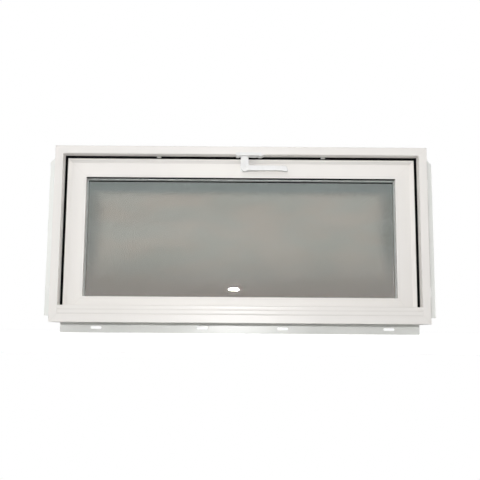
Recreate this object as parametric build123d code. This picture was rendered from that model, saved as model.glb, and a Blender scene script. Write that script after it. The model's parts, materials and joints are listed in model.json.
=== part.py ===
from build123d import *
import math
import os

# A white vinyl hopper window for a basement opening, shown with its sash shut and latched.
# +Z is up, +X is to the right as seen from the room, and the room side faces -Y.
# The origin lies on the room-facing side of the bottom nailing fin, at the middle of the
# fin's length and width, where the fin bears on the wall.
# A section is drawn as (depth behind the room face, distance in from the outer edge).
# All lengths are in millimetres.

# Frame: one extruded section, mitred and welded at the corners
FRAME_WIDTH = 806.0
FRAME_HEIGHT = 381.0
FRAME_DEPTH = 82.5
FRAME_WALL = 2.0
LIP_FACE = 17.5
LIP_DEPTH = 22.5
CHANNEL_FLOOR = 10.0
STOP_REACH = 40.0
STOP_THICKNESS = 5.0
SCREEN_REBATE = 20.0
EDGE_RADIUS = 1.0
SEAM_WIDTH = 0.6
SEAM_DEPTH = 0.25

# Nailing fins, pushed into a kerf in the outside of the frame
FIN_SETBACK = 46.5
FIN_PROJECTION = 22.0
FIN_THICKNESS = 1.5
FIN_CORNER_GAP = 14.0
FIN_CORNER_CUT = 12.0
ROOT_THICKNESS = 1.2
KERF_DEPTH = 5.0
KERF_HEAD_WIDTH = 3.6
KERF_HEAD_DEPTH = 2.0
KERF_CLEARANCE = 0.2
SLOT_LENGTH = 24.0
SLOT_WIDTH = 5.5
SLOT_PATTERN_SHIFT = 6.0
SLOT_OUTER_SPACING = 634.0
SLOT_INNER_SPACING = 174.0
JAMB_SLOT_SPACING = 240.0

# Sill dam: the upstand snapped onto the bottom lip
DAM_TOP = 35.8
DAM_WALL = 2.0
DAM_TO_SASH = 2.0
DAM_GROOVE_WIDTH = 1.0
DAM_GROOVE_DEPTH = 0.8
DAM_GROOVE_RISE = 8.5
DAM_CUT_RUN = 12.0

# Sash: one extruded section, mitred and welded at the corners
SASH_SETBACK = 24.0
SASH_DEPTH = 40.0
SASH_WALL = 2.0
SASH_GAP = 5.0
SASH_SILL_CLEARANCE = 4.3
RAIL_FACE = 41.5
RIM_WIDTH = 3.6
BEVEL_WIDTH = 6.5
FACE_DROP = 1.8
RAIL_RADIUS = 1.2

# Insulated glass and its beads
PANE_SETBACK = 12.0
PANE_THICKNESS = 3.0
AIR_GAP = 13.0
GLASS_BITE = 13.0
GLASS_EDGE_CLEARANCE = 2.5
SPACER_WIDTH = 7.0
SPACER_RADIUS = 2.0
BEAD_LEG = 3.5
BEAD_LIP = 2.0

# Seals
SEAL_SETBACK = 30.0
SEAL_DEPTH = 6.0
SEAL_FOOT = 1.6
SEAL_STEM = 2.4
SEAL_CLEARANCE = 0.3
STOP_SEAL_GAP = 3.0
STOP_SEAL_WIDTH = 8.0
STOP_SEAL_INSET = 28.0

# Pivots at the foot of the sash, and bumpers under the head
PIVOT_DIAMETER = 8.0
PIVOT_HEIGHT = 31.0
PIVOT_SETBACK = 45.0
PIVOT_IN_STILE = 10.0
PIVOT_IN_JAMB = 3.0
PIVOT_CLEARANCE = 0.1
BUMPER_OFFSET = 181.0
BUMPER_WIDTH = 9.0
BUMPER_DEPTH = 3.5
BUMPER_CLEARANCE = 2.0

# Latch on the top rail
HUB_X = 8.0
HUB_DROP = 22.0
HUB_DIAMETER = 16.0
LEVER_SETBACK = 9.0
LEVER_THICKNESS = 7.5
LEVER_LENGTH = 96.0
LEVER_HEIGHT = 11.0
LEVER_TIP_DROP = 1.5
LEVER_TIP_RADIUS = 3.0
LEVER_EDGE = 1.5
NOSE_WIDTH = 17.0
NOSE_THICKNESS = 5.5
NOSE_ENGAGEMENT = 4.5
NOSE_CLEARANCE = 2.0
NOSE_CORNER = 3.0
BASE_WIDTH = 18.0
BASE_FALL = 6.0
BASE_THICKNESS = 3.0
BASE_CORNER = 4.0
BOSS_DIAMETER = 14.0
BOSS_CLEARANCE = 0.3
PIN_DIAMETER = 6.0
PIN_CLEARANCE = 0.1
PIN_RECESS = 1.0

# Keeper: the strike under the head, which the latch nose turns into
KEEPER_LEFT = 19.0
KEEPER_RIGHT = 44.0
KEEPER_PLATE = 2.0
KEEPER_LEG = 4.0
KEEPER_LEG_THICKNESS = 1.2
KEEPER_END_WIDTH = 7.0
KEEPER_END_DROP = 1.0
KEEPER_RAMP = 8.0
KEEPER_BACK = 2.0

# Weep slots through the outside of the sill, and the hoods over them
WEEP_OFFSET = 250.0
WEEP_LENGTH = 30.0
WEEP_HEIGHT = 5.0
WEEP_RISE = 4.0
HOOD_WIDTH = 44.0
HOOD_HEIGHT = 14.0
HOOD_DEPTH = 2.5
HOOD_WALL = 1.0
HOOD_RISE = 2.0

# Insect screen in the rebate on the outside
SCREEN_CLEARANCE = 1.0
SCREEN_BAR_WIDTH = 17.0
SCREEN_BAR_DEPTH = 8.0
SCREEN_LEDGE_WIDTH = 7.0
SCREEN_LEDGE_DEPTH = 3.0
SCREEN_MESH = 0.5
SPLINE_WIDTH = 3.5

# Heights and depths that follow from the sizes above
frame_base = FIN_PROJECTION / 2
frame_top = frame_base + FRAME_HEIGHT
sash_inset = LIP_FACE + SASH_GAP
sash_lift = CHANNEL_FLOOR + SASH_SILL_CLEARANCE
sash_width = FRAME_WIDTH - 2 * sash_inset
sash_height = FRAME_HEIGHT - sash_inset - sash_lift
sash_base = frame_base + sash_lift
sash_top = sash_base + sash_height
sash_back = SASH_SETBACK + SASH_DEPTH
rail_front = SASH_SETBACK + FACE_DROP
pane_front = SASH_SETBACK + PANE_SETBACK
glass_back = pane_front + 2 * PANE_THICKNESS + AIR_GAP
rebate_floor = RAIL_FACE - GLASS_BITE
stop_front = sash_back + STOP_SEAL_GAP
stop_back = stop_front + STOP_THICKNESS
hub_z = sash_top - HUB_DROP
lip_z = frame_top - LIP_FACE
lever_back = LEVER_SETBACK + LEVER_THICKNESS
base_front = rail_front - BASE_THICKNESS
base_rise = HUB_DROP - RIM_WIDTH - BEVEL_WIDTH

TURN = {"bottom": 0, "left": 90, "top": 180, "right": -90}


def rectangle(low_depth, low_inset, high_depth, high_inset):
    """A rectangle in a section, from its two opposite corners."""
    size = (high_depth - low_depth, high_inset - low_inset)
    return Pos(low_depth, low_inset) * Rectangle(*size, align=(Align.MIN, Align.MIN))


def round_corner(section, corner, radius):
    """Round the corner of a section that lies nearest to a point."""
    vertex = section.vertices().sort_by_distance((*corner, 0))[0]
    return fillet(vertex, radius)


def straight_bar(section, length):
    """Run a section along X, centred, with square ends."""
    return extrude(Plane.YZ * section, length / 2, both=True)


def mitred_bar(section, length):
    """Run a section along X, centred, with both ends cut at 45 degrees."""
    box = section.bounding_box()
    half = length / 2
    low, high = box.min.Y, box.max.Y
    corners = [(-half + low, low), (half - low, low), (half - high, high), (-half + high, high)]
    mitre = extrude(Plane.XZ * Polygon(*corners, align=None), 2 * box.max.X, both=True)
    return straight_bar(section, length) & mitre


def place(solid, side, width, height, base):
    """Turn a bar along X to one side of a ring and set it on that ring's outer edge."""
    middle = base + height / 2
    spots = {"bottom": (0, base), "top": (0, base + height)}
    spots["left"] = (-width / 2, middle)
    spots["right"] = (width / 2, middle)
    x, z = spots[side]
    return Pos(x, -FIN_SETBACK, z) * Rot(0, TURN[side], 0) * solid


def cut_seams(bar, length, faces):
    """Take the weld's groove off both mitred ends of a bar, on faces given as (depth, inset, inset)."""
    half = length / 2
    for face, low, high in faces:
        corners = [
            (half - low - SEAM_WIDTH, low),
            (half - low + SEAM_WIDTH, low),
            (half - high + SEAM_WIDTH, high),
            (half - high - SEAM_WIDTH, high),
        ]
        groove = extrude(Plane.XZ * Polygon(*corners, align=None), SEAM_DEPTH, both=True)
        groove = Pos(0, face, 0) * groove
        bar = bar - groove - mirror(groove, about=Plane.YZ)
    return bar


def frame_bar(section, side, faces=()):
    """A mitred bar of the frame's own ring, with grooves along its welds on some faces."""
    length = FRAME_WIDTH if side in ("bottom", "top") else FRAME_HEIGHT
    bar = cut_seams(mitred_bar(section, length), length, faces)
    return place(bar, side, FRAME_WIDTH, FRAME_HEIGHT, frame_base)


def sash_bar(section, side, faces=()):
    """A mitred bar of the sash's ring, with grooves along its welds on some faces."""
    length = sash_width if side in ("bottom", "top") else sash_height
    bar = cut_seams(mitred_bar(section, length), length, faces)
    return place(bar, side, sash_width, sash_height, sash_base)


def kerf_section(clearance):
    """The T-shaped kerf for a fin, or the fin's root with a clearance round its head."""
    back = FIN_SETBACK + FIN_THICKNESS
    front = back - ROOT_THICKNESS
    head = (KERF_HEAD_WIDTH - ROOT_THICKNESS) / 2 - clearance
    neck = KERF_DEPTH - KERF_HEAD_DEPTH + clearance
    end = KERF_DEPTH - clearance
    return rectangle(front, 0, back, end) + rectangle(front - head, neck, back + head, end)


def frame_section():
    """The frame's extrusion: lip, sash channel, outer stop, screen rebate and chambers."""
    outline = Polygon(
        (0, 0),
        (FRAME_DEPTH, 0),
        (FRAME_DEPTH, SCREEN_REBATE),
        (stop_back, SCREEN_REBATE),
        (stop_back, STOP_REACH),
        (stop_front, STOP_REACH),
        (stop_front, CHANNEL_FLOOR),
        (LIP_DEPTH, CHANNEL_FLOOR),
        (LIP_DEPTH, LIP_FACE),
        (0, LIP_FACE),
        align=None,
    )
    for corner in ((0, 0), (0, LIP_FACE), (FRAME_DEPTH, 0), (stop_front, STOP_REACH)):
        outline = round_corner(outline, corner, EDGE_RADIUS)
    wall = FRAME_WALL
    kerf_side = (KERF_HEAD_WIDTH - ROOT_THICKNESS) / 2 + wall
    front_end = FIN_SETBACK + FIN_THICKNESS - ROOT_THICKNESS - kerf_side
    back_start = FIN_SETBACK + FIN_THICKNESS + kerf_side
    chambers = [
        rectangle(wall, wall, LIP_DEPTH - wall, LIP_FACE - wall),
        rectangle(LIP_DEPTH, wall, front_end, CHANNEL_FLOOR - wall),
        rectangle(back_start, wall, stop_front - wall, CHANNEL_FLOOR - wall),
        rectangle(stop_front + wall / 2, wall, FRAME_DEPTH - wall, SCREEN_REBATE - wall),
    ]
    for chamber in chambers:
        outline -= chamber
    return outline - kerf_section(0)


def sash_section():
    """The sash's extrusion: proud rim, bevel, flat face, glazing rebate and chambers."""
    outline = Polygon(
        (SASH_SETBACK, 0),
        (sash_back, 0),
        (sash_back, rebate_floor - BEAD_LEG),
        (glass_back, rebate_floor - BEAD_LEG),
        (glass_back, rebate_floor),
        (pane_front, rebate_floor),
        (pane_front, RAIL_FACE),
        (rail_front, RAIL_FACE),
        (rail_front, RIM_WIDTH + BEVEL_WIDTH),
        (SASH_SETBACK, RIM_WIDTH),
        align=None,
    )
    for corner in ((SASH_SETBACK, 0), (rail_front, RAIL_FACE)):
        outline = round_corner(outline, corner, RAIL_RADIUS)
    wall = SASH_WALL
    middle = pane_front + PANE_THICKNESS
    chambers = [
        rectangle(rail_front + wall, rebate_floor, pane_front - wall, RAIL_FACE - wall),
        rectangle(rail_front + wall, wall, middle, rebate_floor - wall),
        rectangle(middle + wall, wall, sash_back - wall, rebate_floor - BEAD_LEG - wall),
    ]
    for chamber in chambers:
        outline -= chamber
    return outline


def bead_section():
    """The snap-in glazing bead on the outer side of the glass."""
    floor = rebate_floor - BEAD_LEG
    corners = [
        (glass_back, RAIL_FACE),
        (glass_back, floor),
        (sash_back, floor),
        (sash_back, rebate_floor),
        (glass_back + BEAD_LIP, RAIL_FACE),
    ]
    return Polygon(*corners, align=None)


def gap_seal_section(edge):
    """The bulb seal on the channel floor, reaching to just short of the sash's edge."""
    middle = SEAL_SETBACK + SEAL_DEPTH / 2
    top = edge - SEAL_CLEARANCE
    foot_top = CHANNEL_FLOOR + SEAL_FOOT
    foot = rectangle(SEAL_SETBACK, CHANNEL_FLOOR, SEAL_SETBACK + SEAL_DEPTH, foot_top)
    half_stem = SEAL_STEM / 2
    stem = rectangle(middle - half_stem, CHANNEL_FLOOR, middle + half_stem, top - half_stem)
    tip = Pos(middle, top - half_stem) * Circle(half_stem)
    return foot + stem + tip


def stop_seal_section():
    """The compression seal on the outer stop, behind the sash."""
    start = STOP_SEAL_INSET
    return rectangle(sash_back + SEAL_CLEARANCE, start, stop_front, start + STOP_SEAL_WIDTH)


def screen_section():
    """The rolled bar of the insect screen, stepped to carry the mesh."""
    low = SCREEN_REBATE + SCREEN_CLEARANCE
    high = low + SCREEN_BAR_WIDTH
    ledge = high - SCREEN_LEDGE_WIDTH
    front, back = stop_back, stop_back + SCREEN_BAR_DEPTH
    step = back - SCREEN_LEDGE_DEPTH
    corners = [(front, low), (back, low), (back, ledge), (step, ledge), (step, high), (front, high)]
    return Polygon(*corners, align=None)


def upright_sheet(width, height, front, thickness, base):
    """A flat sheet facing the room, centred in X, with its front at a depth."""
    middle = front + thickness / 2 - FIN_SETBACK
    return Pos(0, middle, base + height / 2) * Box(width, thickness, height)


def slots(places, upright):
    """Nailing slots through a fin, at (x, z) places."""
    shape = SlotOverall(SLOT_LENGTH, SLOT_WIDTH, rotation=90 if upright else 0)
    cutters = [extrude(Plane.XZ * Pos(x, z) * shape, 2 * FIN_THICKNESS, both=True) for x, z in places]
    return Part() + cutters


def nailing_fin(side):
    """A fin, plate and root, short of both corners; a side fin's top corner is cut off."""
    plate = rectangle(FIN_SETBACK, -FIN_PROJECTION, FIN_SETBACK + FIN_THICKNESS, 0)
    at_sill = side == "bottom"
    length = (FRAME_WIDTH if at_sill else FRAME_HEIGHT) - 2 * FIN_CORNER_GAP
    bar = straight_bar(plate + kerf_section(KERF_CLEARANCE), length)
    fin = place(bar, side, FRAME_WIDTH, FRAME_HEIGHT, frame_base)
    if at_sill:
        halves = (SLOT_OUTER_SPACING / 2, SLOT_INNER_SPACING / 2)
        places = [(SLOT_PATTERN_SHIFT + sign * half, 0) for half in halves for sign in (-1, 1)]
    else:
        top_edges = fin.edges().filter_by(Axis.Y).group_by(Axis.Z)[-1]
        fin = chamfer(top_edges.sort_by(lambda edge: abs(edge.center().X))[-1], FIN_CORNER_CUT)
        x = (1 if side == "right" else -1) * (FRAME_WIDTH + FIN_PROJECTION) / 2
        middle = frame_base + FRAME_HEIGHT / 2
        places = [(x, middle + sign * JAMB_SLOT_SPACING / 2) for sign in (-1, 1)]
    return fin - slots(places, not at_sill)


def sill_dam():
    """The snap-on upstand above the bottom lip, with a fine groove and a cut across each end."""
    depth = SASH_SETBACK - DAM_TO_SASH
    section = rectangle(0, LIP_FACE, depth, DAM_TOP)
    section = round_corner(section, (0, DAM_TOP), EDGE_RADIUS)
    section -= rectangle(DAM_WALL, LIP_FACE, depth - DAM_WALL, DAM_TOP - DAM_WALL)
    groove = LIP_FACE + DAM_GROOVE_RISE
    section -= rectangle(0, groove, DAM_GROOVE_DEPTH, groove + DAM_GROOVE_WIDTH)
    length = FRAME_WIDTH - 2 * LIP_FACE
    bar = straight_bar(section, length)
    cut = Box(2 * DAM_CUT_RUN, 2 * DAM_GROOVE_DEPTH, DAM_GROOVE_WIDTH)
    cut = Pos((length - DAM_CUT_RUN) / 2, 0, DAM_TOP - DAM_CUT_RUN / 2) * Rot(0, 45, 0) * cut
    bar = bar - cut - mirror(cut, about=Plane.YZ)
    return place(bar, "bottom", FRAME_WIDTH, FRAME_HEIGHT, frame_base)


def spacer_ring():
    """The spacer between the panes, which shows below the top rail as the unit rests on its foot."""
    inset = RAIL_FACE - SPACER_WIDTH
    outer = RectangleRounded(sash_width - 2 * inset, sash_height - 2 * inset, SPACER_RADIUS)
    inner = Rectangle(sash_width - 2 * RAIL_FACE, sash_height - 2 * RAIL_FACE)
    ring = extrude(Plane.XZ * (outer - inner), AIR_GAP / 2, both=True)
    y = pane_front + PANE_THICKNESS + AIR_GAP / 2 - FIN_SETBACK
    return Pos(0, y, sash_base + sash_height / 2 - GLASS_EDGE_CLEARANCE) * ring


def spline_ring():
    """The cord that holds the mesh in the screen's bars."""
    outer_inset = SCREEN_REBATE + SCREEN_CLEARANCE + SCREEN_BAR_WIDTH - SCREEN_LEDGE_WIDTH
    inner_inset = outer_inset + SPLINE_WIDTH
    outer = Rectangle(FRAME_WIDTH - 2 * outer_inset, FRAME_HEIGHT - 2 * outer_inset)
    inner = Rectangle(FRAME_WIDTH - 2 * inner_inset, FRAME_HEIGHT - 2 * inner_inset)
    height = SCREEN_LEDGE_DEPTH - SCREEN_MESH
    ring = extrude(Plane.XZ * (outer - inner), height / 2, both=True)
    y = stop_back + SCREEN_BAR_DEPTH - height / 2 - FIN_SETBACK
    return Pos(0, y, frame_base + FRAME_HEIGHT / 2) * ring


def pivot_pin(sign, extra=0.0):
    """A pivot pin from the jamb into the stile, or the hole for it with extra radius."""
    start = sash_width / 2 - PIVOT_IN_STILE - extra
    end = FRAME_WIDTH / 2 - CHANNEL_FLOOR + PIVOT_IN_JAMB + extra
    pin = Cylinder(PIVOT_DIAMETER / 2 + extra, end - start, rotation=(0, 90, 0))
    spot = (sign * (start + end) / 2, PIVOT_SETBACK - FIN_SETBACK, frame_base + PIVOT_HEIGHT)
    return Pos(*spot) * pin


def head_bumper(sign):
    """A small block under the head that the sash closes up to."""
    height = LIP_FACE + SASH_GAP - CHANNEL_FLOOR - BUMPER_CLEARANCE
    y = SEAL_SETBACK - BUMPER_DEPTH / 2 - FIN_SETBACK
    z = frame_top - CHANNEL_FLOOR - height / 2
    return Pos(sign * BUMPER_OFFSET, y, z) * Box(BUMPER_WIDTH, BUMPER_DEPTH, height)


def disc(diameter, front, back):
    """A cylinder on the latch's axis between two depths."""
    middle = (front + back) / 2 - FIN_SETBACK
    return Pos(HUB_X, middle, hub_z) * Cylinder(diameter / 2, back - front, rotation=(90, 0, 0))


def slab(outline, front, back):
    """An outline drawn about the latch's axis, made solid between two depths."""
    solid = extrude(Plane.XZ * outline, (back - front) / 2, both=True)
    return Pos(HUB_X, (front + back) / 2 - FIN_SETBACK, hub_z) * solid


def latch_base():
    """The plate screwed to the top rail, with its boss and the fixed pivot pin."""
    outline = RectangleRounded(BASE_WIDTH, base_rise + BASE_FALL, BASE_CORNER)
    plate = slab(Pos(0, (base_rise - BASE_FALL) / 2) * outline, base_front, rail_front)
    boss = disc(BOSS_DIAMETER, lever_back + BOSS_CLEARANCE, base_front)
    pin = disc(PIN_DIAMETER, LEVER_SETBACK + PIN_RECESS, base_front)
    return plate + boss + pin


def latch_handle():
    """The lever and its nose in one casting, turning on the base's pin."""
    half = LEVER_HEIGHT / 2
    tip_low = -half - LEVER_TIP_DROP
    corners = [
        (0, half),
        (LEVER_LENGTH - half, half),
        (LEVER_LENGTH, tip_low),
        (LEVER_LENGTH - LEVER_HEIGHT, tip_low),
        (LEVER_LENGTH - LEVER_HEIGHT - half, -half),
        (0, -half),
    ]
    arm = Polygon(*corners, align=None)
    for corner in corners[1:5]:
        arm = round_corner(arm, corner, LEVER_TIP_RADIUS)
    lever = slab(arm + Circle(HUB_DIAMETER / 2), LEVER_SETBACK, lever_back)
    lever = fillet(lever.edges().group_by(Axis.Y)[0], LEVER_EDGE)
    rise = HUB_DROP + SASH_GAP + NOSE_ENGAGEMENT
    nose = Pos(0, rise / 2) * Rectangle(NOSE_WIDTH, rise)
    for side in (-1, 1):
        nose = round_corner(nose, (side * NOSE_WIDTH / 2, rise), NOSE_CORNER)
    nose = slab(nose, LEVER_SETBACK, LEVER_SETBACK + NOSE_THICKNESS)
    bore = disc(PIN_DIAMETER + 2 * PIN_CLEARANCE, LEVER_SETBACK - 1, lever_back + 1)
    return lever + nose - bore


def keeper_slot():
    """The slot that the nose sweeps through, from the keeper up into the head's lip."""
    reach = math.hypot(HUB_DROP + SASH_GAP + NOSE_ENGAGEMENT, NOSE_WIDTH / 2)
    rise = HUB_DROP + SASH_GAP - KEEPER_PLATE - KEEPER_END_DROP
    left = HUB_X - NOSE_WIDTH / 2 - NOSE_CLEARANCE
    right = HUB_X + math.sqrt(reach**2 - rise**2) + NOSE_CLEARANCE
    front = LEVER_SETBACK - NOSE_CLEARANCE
    back = LEVER_SETBACK + NOSE_THICKNESS + NOSE_CLEARANCE
    bottom = sash_top
    top = lip_z + NOSE_ENGAGEMENT + NOSE_CLEARANCE
    size = (right - left, back - front, top - bottom)
    spot = ((left + right) / 2, (front + back) / 2 - FIN_SETBACK, (top + bottom) / 2)
    return Pos(*spot) * Box(*size)


def latch_keeper():
    """The strike plate under the head, with a front leg, two ends and a sloping ramp."""
    left, right = HUB_X - KEEPER_LEFT, HUB_X + KEEPER_RIGHT
    plate_low = lip_z - KEEPER_PLATE
    end_low = plate_low - KEEPER_END_DROP
    corners = [
        (left, lip_z),
        (left, end_low),
        (left + KEEPER_END_WIDTH, end_low),
        (left + KEEPER_END_WIDTH, plate_low),
        (right - 2 * KEEPER_END_WIDTH, plate_low),
        (right - 2 * KEEPER_END_WIDTH, end_low),
        (right - KEEPER_RAMP, end_low),
        (right, lip_z),
    ]
    depth = LIP_DEPTH - KEEPER_BACK
    body = extrude(Plane.XZ * Polygon(*corners, align=None), depth / 2, both=True)
    body = Pos(0, depth / 2 - FIN_SETBACK, 0) * body
    leg_height = KEEPER_LEG + KEEPER_PLATE
    leg = Box(right - left - KEEPER_RAMP, KEEPER_LEG_THICKNESS, leg_height)
    leg_x = (left + right - KEEPER_RAMP) / 2
    leg = Pos(leg_x, -KEEPER_LEG_THICKNESS / 2 - FIN_SETBACK, plate_low + leg_height / 2) * leg
    return body + leg - keeper_slot()


def weep_slot(sign):
    """The slot that drains the sill's outer chamber."""
    y = FRAME_DEPTH - FRAME_WALL / 2 - FIN_SETBACK
    z = frame_base + WEEP_RISE + WEEP_HEIGHT / 2
    return Pos(sign * WEEP_OFFSET, y, z) * Box(WEEP_LENGTH, 2 * FRAME_WALL, WEEP_HEIGHT)


def weep_hood(sign):
    """The small hood over a weep slot, open below."""
    inner = (HOOD_WIDTH - 2 * HOOD_WALL, HOOD_DEPTH - HOOD_WALL, HOOD_HEIGHT - HOOD_WALL)
    outside = Box(HOOD_WIDTH, HOOD_DEPTH, HOOD_HEIGHT, align=(Align.CENTER, Align.MIN, Align.MIN))
    outside = fillet(outside.edges().group_by(Axis.Y)[-1], HOOD_WALL / 2)
    hollow = Box(*inner, align=(Align.CENTER, Align.MIN, Align.MIN))
    spot = (sign * WEEP_OFFSET, FRAME_DEPTH - FIN_SETBACK, frame_base + HOOD_RISE)
    return Pos(*spot) * (outside - hollow)


def frame_parts():
    """The four frame bars, the dam, the weep hoods and the three nailing fins."""
    section = frame_section()
    faces = ((0, 0, LIP_FACE), (FRAME_DEPTH, 0, SCREEN_REBATE))
    pieces = {
        "frame_head": frame_bar(section, "top", faces) - keeper_slot(),
        "frame_sill": frame_bar(section, "bottom", faces) - weep_slot(-1) - weep_slot(1),
        "frame_left_jamb": frame_bar(section, "left", faces) - pivot_pin(-1, PIVOT_CLEARANCE),
        "frame_right_jamb": frame_bar(section, "right", faces) - pivot_pin(1, PIVOT_CLEARANCE),
        "sill_dam": sill_dam(),
        "weep_hood_left": weep_hood(-1),
        "weep_hood_right": weep_hood(1),
    }
    for name, side in (("sill", "bottom"), ("left", "left"), ("right", "right")):
        pieces["nailing_fin_" + name] = nailing_fin(side)
    return pieces


def sash_parts():
    """The four sash bars, the insulated glass and the glazing beads."""
    section = sash_section()
    faces = ((rail_front, RIM_WIDTH + BEVEL_WIDTH, RAIL_FACE), (sash_back, 0, rebate_floor - BEAD_LEG))
    pieces = {
        "sash_top_rail": sash_bar(section, "top", faces),
        "sash_bottom_rail": sash_bar(section, "bottom", faces),
        "sash_left_stile": sash_bar(section, "left", faces) - pivot_pin(-1, PIVOT_CLEARANCE),
        "sash_right_stile": sash_bar(section, "right", faces) - pivot_pin(1, PIVOT_CLEARANCE),
    }
    edge = rebate_floor + GLASS_EDGE_CLEARANCE
    foot = sash_base + rebate_floor
    pane = (sash_width - 2 * edge, sash_height - 2 * edge)
    outer_front = pane_front + PANE_THICKNESS + AIR_GAP
    pieces["inner_pane"] = upright_sheet(*pane, pane_front, PANE_THICKNESS, foot)
    pieces["outer_pane"] = upright_sheet(*pane, outer_front, PANE_THICKNESS, foot)
    pieces["glass_spacer"] = spacer_ring()
    bead = bead_section()
    for side in TURN:
        pieces["glazing_bead_" + side] = sash_bar(bead, side)
    return pieces


def seal_parts():
    """The bulb seals round the sash and the compression seals on the outer stop."""
    pieces = {}
    for side in TURN:
        edge = sash_lift if side == "bottom" else sash_inset
        pieces["gap_seal_" + side] = frame_bar(gap_seal_section(edge), side)
        pieces["stop_seal_" + side] = frame_bar(stop_seal_section(), side)
    return pieces


def hardware_parts():
    """The pivots, the head bumpers and the latch."""
    return {
        "pivot_pin_left": pivot_pin(-1),
        "pivot_pin_right": pivot_pin(1),
        "head_bumper_left": head_bumper(-1),
        "head_bumper_right": head_bumper(1),
        "latch_base": latch_base(),
        "latch_handle": latch_handle(),
        "latch_keeper": latch_keeper(),
    }


def screen_parts():
    """The insect screen: four bars, the mesh and the cord that holds it."""
    section = screen_section()
    pieces = {"screen_bar_" + side: frame_bar(section, side) for side in TURN}
    edge = SCREEN_REBATE + SCREEN_CLEARANCE + SCREEN_BAR_WIDTH - SCREEN_LEDGE_WIDTH
    size = (FRAME_WIDTH - 2 * edge, FRAME_HEIGHT - 2 * edge)
    front = stop_back + SCREEN_BAR_DEPTH - SCREEN_LEDGE_DEPTH
    pieces["screen_mesh"] = upright_sheet(*size, front, SCREEN_MESH, frame_base + edge)
    pieces["screen_spline"] = spline_ring()
    return pieces


os.makedirs("parts", exist_ok=True)
groups = (frame_parts(), sash_parts(), seal_parts(), hardware_parts(), screen_parts())
for group in groups:
    for name, solid in group.items():
        export_step(solid, f"parts/{name}.step")
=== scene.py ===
import json
import logging
import math
from collections.abc import Callable, Iterable, Sequence
from dataclasses import dataclass
from enum import Enum

import bmesh
import bpy
from mathutils import Matrix, Vector


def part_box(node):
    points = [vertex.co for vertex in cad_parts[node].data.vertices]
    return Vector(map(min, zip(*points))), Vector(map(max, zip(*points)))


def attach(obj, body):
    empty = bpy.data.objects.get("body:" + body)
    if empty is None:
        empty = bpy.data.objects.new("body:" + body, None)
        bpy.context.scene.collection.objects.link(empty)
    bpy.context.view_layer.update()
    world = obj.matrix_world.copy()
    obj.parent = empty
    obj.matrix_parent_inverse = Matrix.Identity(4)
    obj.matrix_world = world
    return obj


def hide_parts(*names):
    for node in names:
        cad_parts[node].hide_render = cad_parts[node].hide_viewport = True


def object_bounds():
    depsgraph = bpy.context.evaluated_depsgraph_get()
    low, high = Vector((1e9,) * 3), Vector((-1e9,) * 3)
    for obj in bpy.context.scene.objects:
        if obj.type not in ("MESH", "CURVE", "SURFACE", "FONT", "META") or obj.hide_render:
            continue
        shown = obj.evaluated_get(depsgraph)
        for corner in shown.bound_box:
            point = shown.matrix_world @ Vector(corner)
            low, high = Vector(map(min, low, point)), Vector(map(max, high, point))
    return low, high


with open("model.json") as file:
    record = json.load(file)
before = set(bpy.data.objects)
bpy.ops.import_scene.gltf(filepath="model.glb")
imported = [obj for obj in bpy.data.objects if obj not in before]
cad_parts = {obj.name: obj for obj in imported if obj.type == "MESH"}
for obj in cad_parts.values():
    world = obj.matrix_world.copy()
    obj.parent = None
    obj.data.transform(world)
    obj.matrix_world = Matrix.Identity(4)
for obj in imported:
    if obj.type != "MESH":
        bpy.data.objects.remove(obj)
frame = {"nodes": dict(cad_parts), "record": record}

CAD_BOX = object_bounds()
MM = 0.001
PER_MM = 1 / MM
SIDES = ("bottom", "left", "top", "right")
REFRACTION = 1.52  # of soda glass, and near enough of vinyl
WHITE = (1.0, 1.0, 1.0, 1.0)
SHARP_EDGE = math.radians(20)
WELD = 1e-6
PRINCIPLED = "ShaderNodeBsdfPrincipled"
# Sockets of the Mix node that blend colours; their names are not unique.
MIX_SHARE, MIX_FIRST, MIX_SECOND, MIX_RESULT = 0, 6, 7, 2
log = logging.getLogger("hopper_window")

Colour = tuple[float, float, float]
Point = tuple[float, float, float]
Span = tuple[float, float]


# Shader board


class Wire:
    """One shader socket. Python arithmetic on it adds Math nodes to its board."""

    def __init__(self, board: "Board", socket: bpy.types.NodeSocket) -> None:
        """Keep the board and the socket."""
        self.board = board
        self.socket = socket

    def take(self, output: str) -> "Wire":
        """Another output of the same node."""
        return Wire(self.board, self.socket.node.outputs[output])

    def __add__(self, other: "Wire | float") -> "Wire":
        """The sum."""
        return self.board.maths("ADD", self, other)

    def __radd__(self, other: float) -> "Wire":
        """The sum, from the right."""
        return self.board.maths("ADD", other, self)

    def __sub__(self, other: "Wire | float") -> "Wire":
        """The difference."""
        return self.board.maths("SUBTRACT", self, other)

    def __rsub__(self, other: float) -> "Wire":
        """The difference, from the right."""
        return self.board.maths("SUBTRACT", other, self)

    def __mul__(self, other: "Wire | float") -> "Wire":
        """The product."""
        return self.board.maths("MULTIPLY", self, other)

    def __rmul__(self, other: float) -> "Wire":
        """The product, from the right."""
        return self.board.maths("MULTIPLY", other, self)

    def __abs__(self) -> "Wire":
        """The size without its sign."""
        return self.board.maths("ABSOLUTE", self)


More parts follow.
